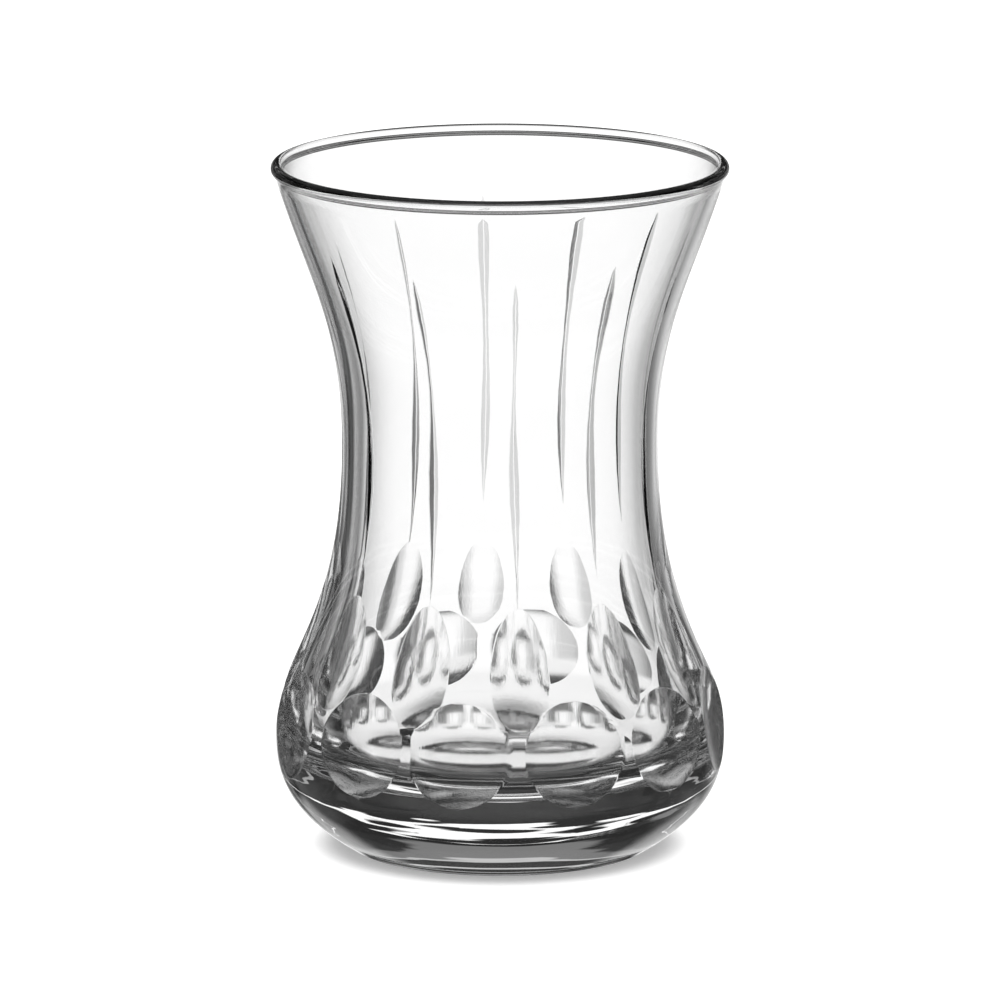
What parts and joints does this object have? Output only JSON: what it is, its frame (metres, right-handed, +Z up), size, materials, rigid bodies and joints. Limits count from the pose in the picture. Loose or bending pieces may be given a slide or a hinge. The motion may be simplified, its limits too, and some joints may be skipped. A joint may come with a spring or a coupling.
{
  "type": "turkish tea glass",
  "caption": "Empty waisted tea glass in clear cut glass, with long mitre cuts over the waist and two rings of olive cuts round a thick rounded base.",
  "frame": {"origin": "middle of the foot, where it stands on the table", "axes": "+Z up along the glass's axis, through the mouth"},
  "size_m": [0.061, 0.061, 0.0927],
  "materials": {
    "glass": "polished"
  },
  "bodies": {
    "root": {"tea_glass": "glass"}
  },
  "joints": []
}
